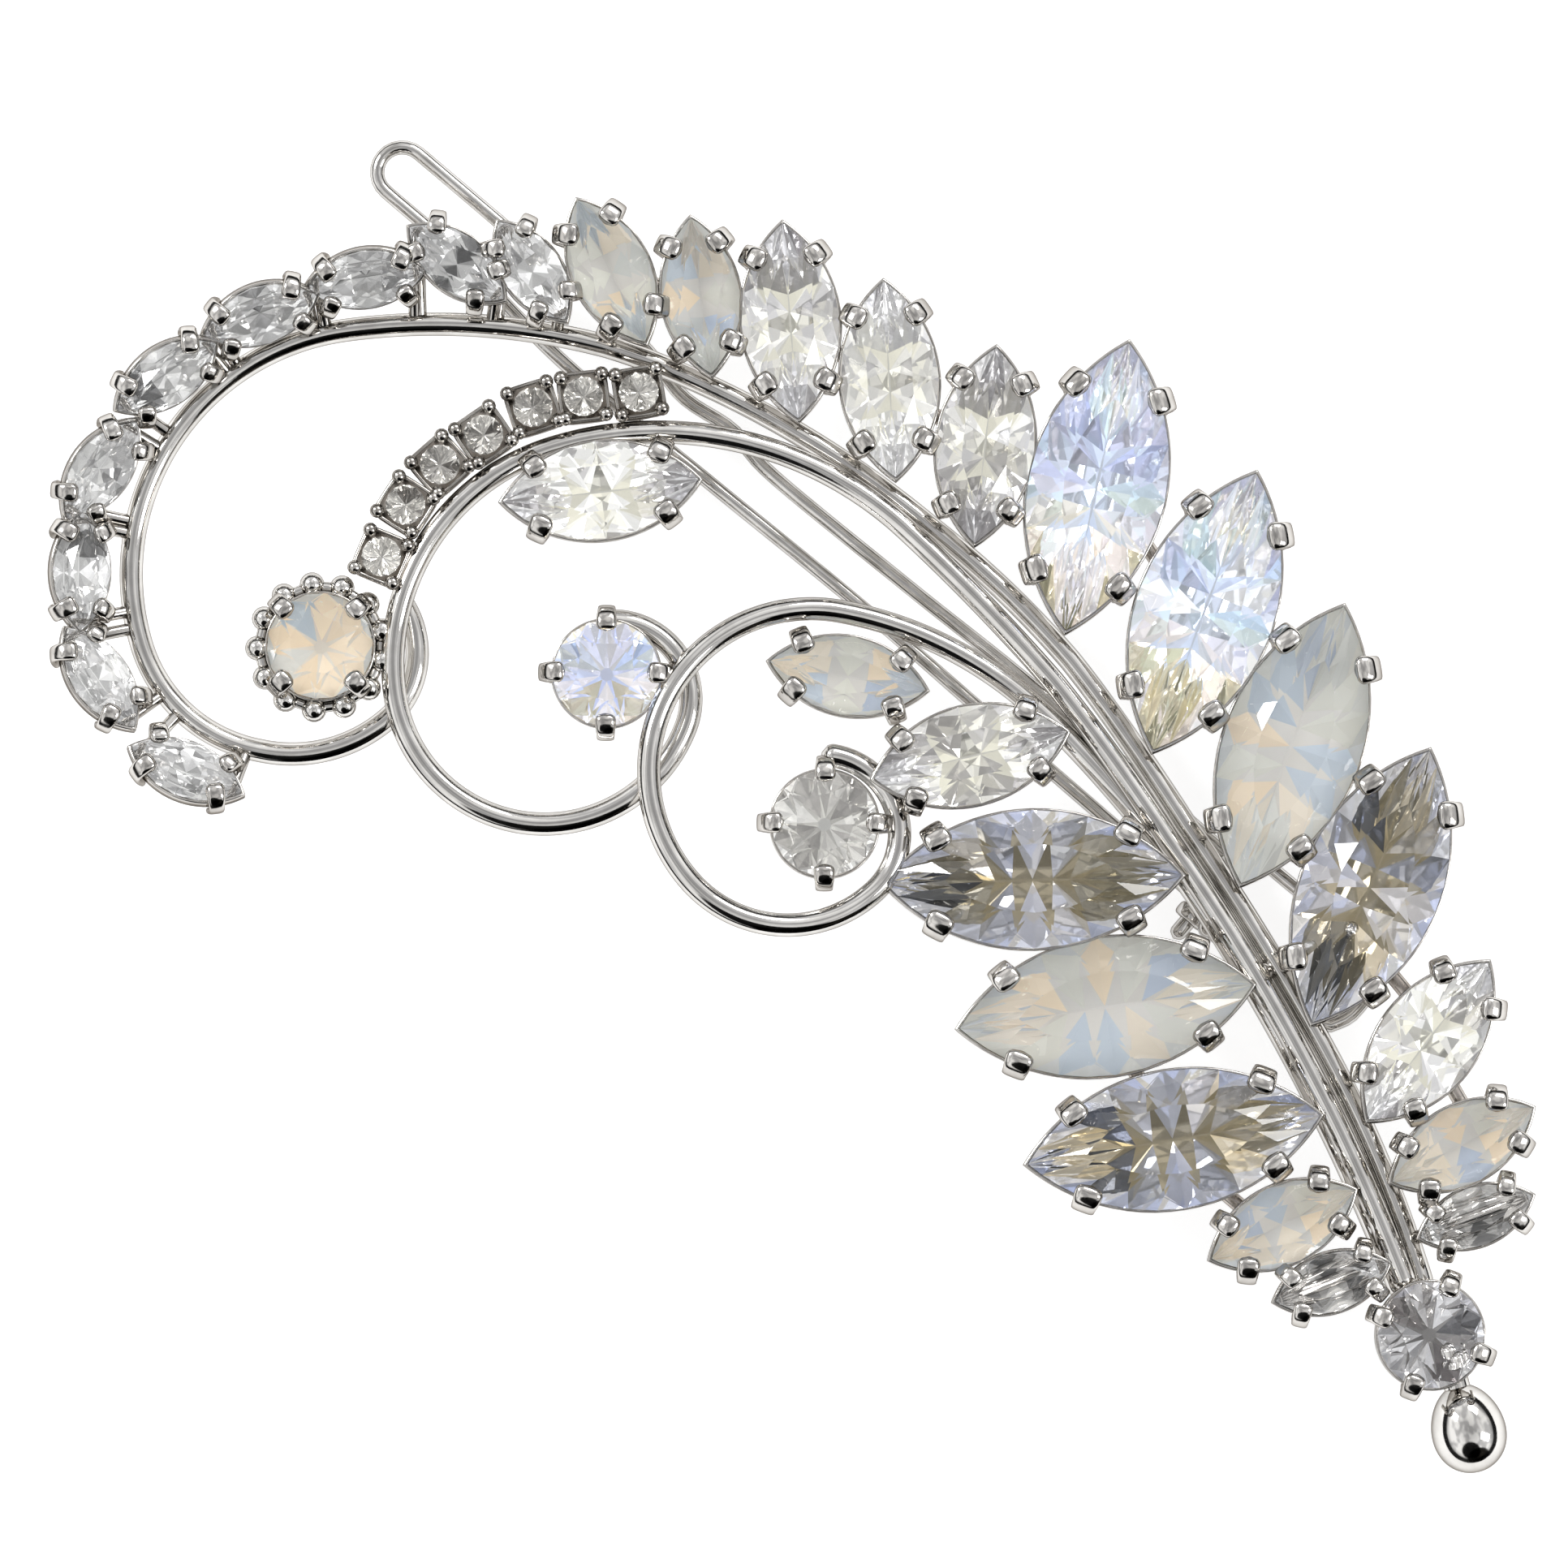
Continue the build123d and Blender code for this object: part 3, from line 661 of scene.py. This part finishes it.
def chain_cup():
    """Square cup of the chain: rounded box rings down the outside, and four bead claws."""
    theta = np.linspace(0, 2 * np.pi, 40, endpoint=False)
    base = square_outline(CUP_W / 2)(theta)
    rows = [(0.84, 0.0), (0.93, 0.05), (1.0, -0.03), (1.0, -1.2), (0.92, -CUP_H), (0.5, -CUP_H)]
    rows += [(0.5, -1.1), (0.86, -0.3)]
    rings = np.stack([np.concatenate([base * s, np.full((40, 1), z)], 1) for s, z in rows])
    parts = [(rings.reshape(-1, 3), grid_faces(len(rows), 40, wrap_rows=True).tolist())]
    place = CUP_W / 2 - 0.27
    for sx in (-1, 1):
        for sy in (-1, 1):
            parts.append(ball_skin((sx * place, sy * place, 0.14), 0.38, 8, 12, (1, 1, 0.9)))
    return parts


cup_seats = [(SHIFT + (x, y, MIDDLE_Z + 0.9), turn, 0.0) for x, y, turn in CUPS]
make("cup_chain_claw_cups", [(turned(p, seat), f) for seat in cup_seats for p, f in chain_cup()],
     [CUP_METAL], ["cup_chain_cups"])
chaton = cut_stone(round_outline(1.02), 8, 0.45, 0.85, (0.58, 0.58), (0.05, 0.05), girdle=0.06)
stone_piece("cup_chain_cut_stones", [chaton] * len(cup_seats), cup_seats, "chain", CLEAR,
            FOIL, "clear_crystal", "cup_chain_stones")


# ---------------------------------------------------------------- beaded rim, ball, bars
RIM_R = 3.22
BEADS = 13
BEAD_R = 0.64
low, high = (np.array(v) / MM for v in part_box("outer_round_stone"))
rim_centre = 0.5 * (low + high)
rim_centre[2] = low[2] + ROUND_PAVILION - 0.55
angles = 2 * np.pi * np.arange(BEADS) / BEADS
rim = [ball_skin(rim_centre + (RIM_R * math.cos(a), RIM_R * math.sin(a), 0), BEAD_R, 12, 18)
       for a in angles]
around = np.linspace(0, 2 * np.pi, 73)[:-1]
section = np.linspace(0, 2 * np.pi, 13)[:-1]
wheel = np.stack([RIM_R - 0.15 + 0.28 * np.cos(section), 0.22 * np.sin(section)], -1)
rim_ring = np.stack([wheel[:, :1] * np.cos(around), wheel[:, :1] * np.sin(around),
                     wheel[:, 1:] + 0 * around], -1) + rim_centre
rim.append((rim_ring.reshape(-1, 3), grid_faces(12, 72, wrap_rows=True).tolist()))
make("beaded_rim_beads", rim, [POLISHED], ["beaded_rim"])

BALL_AT = (42.4, -6.0)
BALL_R = 1.9
BALL_LENGTH = 4.6
BALL_TURN = -35


def egg(length, radius):
    """Egg: rings along its length, slimmer towards the neck."""
    u = np.linspace(0.06, np.pi - 0.06, 40)[:, None]
    a = np.linspace(0, 2 * np.pi, 48, endpoint=False)[None, :]
    r = radius * np.sin(u) * (1 - 0.10 * np.cos(u))
    x = -0.5 * length * np.cos(u) + 0 * a
    return closed_grid(np.stack([x, r * np.cos(a), r * np.sin(a)], -1))


ball_seat = (SHIFT + (*BALL_AT, OUTER_Z + 0.3), BALL_TURN, 0.0)
neck_path = np.array([(-4.0, 0, 0), (-3.4, 0, 0), (-2.6, 0, 0), (-1.8, 0, 0)])
collar = np.array([(-2.55, 0, 0), (-2.3, 0, 0), (-2.0, 0, 0)])
ball_parts = [egg(BALL_LENGTH, BALL_R), tube(neck_path, 0.5, 24), tube(collar, 0.68, 24)]
make("egg_ball_and_neck", [(turned(p, ball_seat), f) for p, f in ball_parts], [POLISHED], ["ball_end"])

BRIDGES = (
    (25.1, 9.0, -10, 3.0), (31.0, 6.6, -20, 3.0), (34.3, 3.3, -30, 2.4),
    (25.6, -4.9, 0, 3.0), (17.9, -3.2, -20, 3.0), (10.7, -0.3, -20, 3.0),
    (17.0, 13.4, -20, 3.0), (9.2, 15.8, -20, 3.0), (1.2, 17.6, -15, 3.0),
    (-6.3, 16.9, 15, 3.0), (-11.6, 15.8, 10, 3.0), (-17.5, 15.0, 10, 3.0),
    (-22.6, 13.4, 20, 3.0), (-26.9, 11.6, 20, 3.0),
)
BRIDGE_Z = 3.3
BRIDGE_SHARE = 0.72                     # length of the bar that shows between two settings
bars = []
for x, y, turn, length in BRIDGES:
    line = np.linspace(-0.5, 0.5, 9) * length * BRIDGE_SHARE
    path = np.stack([line, 0 * line, 0 * line], -1)
    bars.append(tube(turned(path, (SHIFT + (x, y, BRIDGE_Z), turn, 0.0)), 0.4, 16))
make("tie_bars", bars, [SOLDER], ["bridge_bars"])


# ---------------------------------------------------------------- clip
HINGE = np.array([14.9, 7.0, 0.9])
PIN_R = 0.45
PIN_LENGTH = 7.2
EYE_R = 0.9
EYE_W = 0.75
ARM_LEFT = HINGE[1] - 1.2
ARM_RIGHT = HINGE[1] + 1.5
LOOP_X = -40.9
LOOP_LEFT = 6.4
LOOP_RIGHT = 9.0
BASE_LEFT = ARM_LEFT - 0.9
BASE_RIGHT = ARM_RIGHT + 0.9
BASE_END_X = 24.4
BASE_Z = HINGE[2] + 0.5


def resampled(points, step):
    """Rounded line through the points, evenly spaced."""
    fine = smooth_path(points, 60 * len(points))
    s = np.concatenate([[0], np.cumsum(np.linalg.norm(np.diff(fine, axis=0), axis=1))])
    t = np.linspace(0, s[-1], int(s[-1] / step))
    return np.stack([np.interp(t, s, fine[:, k]) for k in range(fine.shape[1])], -1)


def eye(y, bore):
    """Wire eye round the pin: a rounded band turned about the hinge line."""
    outer, inner, half = EYE_R, bore, EYE_W / 2
    t = np.linspace(0, 2 * np.pi, 20, endpoint=False)
    c = np.sign(np.cos(t)) * np.abs(np.cos(t)) ** 0.7
    s = np.sign(np.sin(t)) * np.abs(np.sin(t)) ** 0.7
    r = 0.5 * (outer + inner) + 0.5 * (outer - inner) * c
    across = half * s
    a = np.linspace(0, 2 * np.pi, 48, endpoint=False)
    x = HINGE[0] + r[:, None] * np.cos(a)
    z = HINGE[2] + r[:, None] * np.sin(a)
    ring = np.stack([x, y + across[:, None] + 0 * a, z], -1) + SHIFT
    return ring.reshape(-1, 3), grid_faces(20, 48, wrap_rows=True).tolist()


def level(points, z):
    """Plan points at one height, shifted into place."""
    p = np.asarray(points, float)
    return np.concatenate([p, np.full((len(p), 1), z)], 1) + SHIFT


turn_back = np.linspace(-np.pi / 2, -3 * np.pi / 2, 13)
loop_r = 0.5 * (LOOP_RIGHT - LOOP_LEFT)
loop = np.stack([LOOP_X + loop_r * np.cos(turn_back),
                 0.5 * (LOOP_LEFT + LOOP_RIGHT) + loop_r * np.sin(turn_back)], -1)
arm_start = HINGE[0] - 0.7
left = resampled([(arm_start, ARM_LEFT), (2.0, 5.9), (-8.0, 6.0), (-18.0, 5.8), (-28.0, 5.62),
                  (-36.0, 6.32), (LOOP_X, LOOP_LEFT)], 0.6)
right = resampled([(LOOP_X, LOOP_RIGHT), (-33.0, 9.0), (-26.0, 8.96), (-22.4, 8.28), (-19.3, 8.62),
                   (-16.2, 8.18), (-7.0, 8.35), (1.5, 8.6), (arm_start, ARM_RIGHT)], 0.6)
arm_path = level(np.concatenate([left, loop[1:-1], right]), HINGE[2])
make("spring_wire_arm",
     [tube(arm_path, WIRE_R, 20), eye(ARM_LEFT, PIN_R + 0.05), eye(ARM_RIGHT, PIN_R + 0.05)],
     [WIRE], ["clip_arm"], body="arm")

pin_y = np.linspace(-0.5, 0.5, 12) * (PIN_LENGTH - 2 * PIN_R)
pin_path = np.stack([0 * pin_y, pin_y, 0 * pin_y], -1) + HINGE + SHIFT
make("cross_pin", [tube(pin_path, PIN_R - 0.01, 24)], [WIRE], ["hinge_pin"])

POSTS = ((15.9, 4.9, INNER_Z), (19.5, 4.9, MIDDLE_Z), (22.8, 4.9, OUTER_Z), (21.5, 9.4, 3.0))
base_line = resampled([(HINGE[0] + 0.5, BASE_LEFT), (17.0, BASE_LEFT), (BASE_END_X - 1.4, BASE_LEFT),
                       (BASE_END_X - 0.2, BASE_LEFT + 0.9), (BASE_END_X, HINGE[1]),
                       (BASE_END_X - 0.2, BASE_RIGHT - 0.9), (BASE_END_X - 1.4, BASE_RIGHT),
                       (17.0, BASE_RIGHT), (HINGE[0] + 0.5, BASE_RIGHT)], 0.4)
base_parts = [tube(level(base_line, BASE_Z), WIRE_R, 20), eye(BASE_LEFT, PIN_R), eye(BASE_RIGHT, PIN_R)]
for x, y, top in POSTS:
    rise = np.linspace(BASE_Z, top - 0.5, 6)
    post = np.stack([x + 0 * rise, y + 0 * rise, rise], -1) + SHIFT
    base_parts.append(tube(post, 0.5, 20, up=(0, 1, 0)))
make("soldered_base_wire", base_parts, [WIRE], ["clip_base"])


# ---------------------------------------------------------------- camera, floor and light
def aim(obj, eye_at, target, up):
    """Stand an object at a point, looking at the target with the given way up."""
    back = (Vector(eye_at) - Vector(target)).normalized()
    right = Vector(up).cross(back).normalized()
    top = back.cross(right)
    obj.matrix_world = Matrix.Translation(eye_at) @ Matrix((right, top, back)).transposed().to_4x4()


ROLL_UP = np.array([-0.649, 0.760, 0.0])        # the view's upward direction in plan
CAMERA_TILT = 3.0                              # degrees off straight above
LENS = 200.0
SENSOR = 36.0
FIELD = 79.8 * MM                              # width of the view at the stones' level
TARGET = np.array([-5.0, -3.65, 5.0]) * MM
distance = FIELD * LENS / SENSOR
tilt = math.radians(CAMERA_TILT)
eye_at = TARGET + distance * (math.cos(tilt) * np.array([0, 0, 1]) - math.sin(tilt) * ROLL_UP)
camera_data = bpy.data.cameras.new("studio_camera")
camera_data.lens = LENS
camera_data.sensor_width = SENSOR
camera_data.clip_start = 0.001
camera = bpy.data.objects.new("studio_camera", camera_data)
bpy.context.collection.objects.link(camera)
aim(camera, eye_at, TARGET, ROLL_UP)
bpy.context.scene.camera = camera

floor_material, _, floor_surface = shader("pale_floor", Roughness=0.6)
floor_surface.inputs["Base Color"].default_value = (0.45, 0.45, 0.45, 1)
floor_surface.inputs["Emission Color"].default_value = (1.0, 1.0, 1.0, 1)
floor_surface.inputs["Emission Strength"].default_value = 0.80
floor_mesh = bpy.data.meshes.new("floor")
FLOOR_HALF = 0.6                        # metres
FLOOR_Z = -0.0001
corners = [(x * FLOOR_HALF, y * FLOOR_HALF, FLOOR_Z) for x, y in ((-1, -1), (1, -1), (1, 1), (-1, 1))]
floor_mesh.from_pydata(corners, [], [(0, 1, 2, 3)])
floor_mesh.materials.append(floor_material)
floor = bpy.data.objects.new("floor", floor_mesh)
bpy.context.collection.objects.link(floor)

scene = bpy.context.scene
scene.view_settings.view_transform = "Standard"
scene.view_settings.look = "None"
world = bpy.data.worlds.new("studio")
scene.world = world
world.use_nodes = True
wt = world.node_tree
background = wt.nodes["Background"]
direction = wt.nodes.new("ShaderNodeTexCoord")
split = wt.nodes.new("ShaderNodeSeparateXYZ")
wt.links.new(direction.outputs["Generated"], split.inputs["Vector"])
sky = wt.nodes.new("ShaderNodeValToRGB")
stops = sky.color_ramp.elements
# (sine of the elevation, brightness): dark past the table's edge, white above it, grey overhead
SKY = ((0.0, 0.01), (0.24, 0.02), (0.31, 0.60), (0.46, 1.0),
       (0.78, 0.95), (0.92, 0.76), (0.98, 0.62), (1.0, 0.55))
stops[0].position, stops[1].position = SKY[0][0], SKY[-1][0]
stops[0].color, stops[1].color = (*[SKY[0][1]] * 3, 1), (*[SKY[-1][1]] * 3, 1)
for position, value in SKY[1:-1]:
    stops.new(position).color = (value, value, value, 1)
wt.links.new(split.outputs["Z"], sky.inputs["Fac"])
patches = wt.nodes.new("ShaderNodeTexNoise")
patches.inputs["Scale"].default_value = 2.6
patches.inputs["Detail"].default_value = 1.0
wt.links.new(direction.outputs["Generated"], patches.inputs["Vector"])
room = ramp(wt, patches.outputs["Fac"], (0.55, 0.55, 0.56), (1.0, 1.0, 1.0), 0.42, 0.56)


def dark_patch(centre, darkest, start, end):
    """White everywhere but round the centre's direction, where it falls to the darkest
    colour as the cosine of the angle from it rises from start to end."""
    toward = wt.nodes.new("ShaderNodeVectorMath")
    toward.operation = "DOT_PRODUCT"
    toward.inputs[1].default_value = centre
    wt.links.new(direction.outputs["Generated"], toward.inputs[0])
    return ramp(wt, toward.outputs["Value"], (1.0, 1.0, 1.0), darkest, start, end)


def times(a, b):
    """Product of two colours."""
    node = wt.nodes.new("ShaderNodeMix")
    node.data_type = "RGBA"
    node.blend_type = "MULTIPLY"
    node.inputs["Factor"].default_value = 1.0
    wt.links.new(a, node.inputs["A"])
    wt.links.new(b, node.inputs["B"])
    return node.outputs["Result"]


# the dark opening half way up the white tent, and the darker room low down past its front
opening = dark_patch((0.50, -0.55, 0.67), (0.01, 0.01, 0.01), 0.88, 0.91)
open_front = dark_patch((0.84, -0.44, 0.32), (0.02, 0.018, 0.015), 0.86, 0.89)
wt.links.new(times(times(times(sky.outputs["Color"], room), opening), open_front),
             background.inputs["Color"])
background.inputs["Strength"].default_value = 1.25


def softbox(name, at, width, height, power):
    """Rectangular soft light aimed at the clip."""
    data = bpy.data.lights.new(name, "AREA")
    data.shape = "RECTANGLE"
    data.size, data.size_y = width, height
    data.energy = power
    lamp = bpy.data.objects.new(name, data)
    bpy.context.collection.objects.link(lamp)
    aim(lamp, np.array(at), TARGET, (0, 0, 1))


softbox("left_softbox", (-0.35, -0.05, 0.30), 0.10, 0.16, 1.1)
softbox("right_softbox", (0.30, 0.15, 0.30), 0.12, 0.20, 0.7)
softbox("far_softbox", (-0.10, 0.35, 0.28), 0.20, 0.12, 0.7)
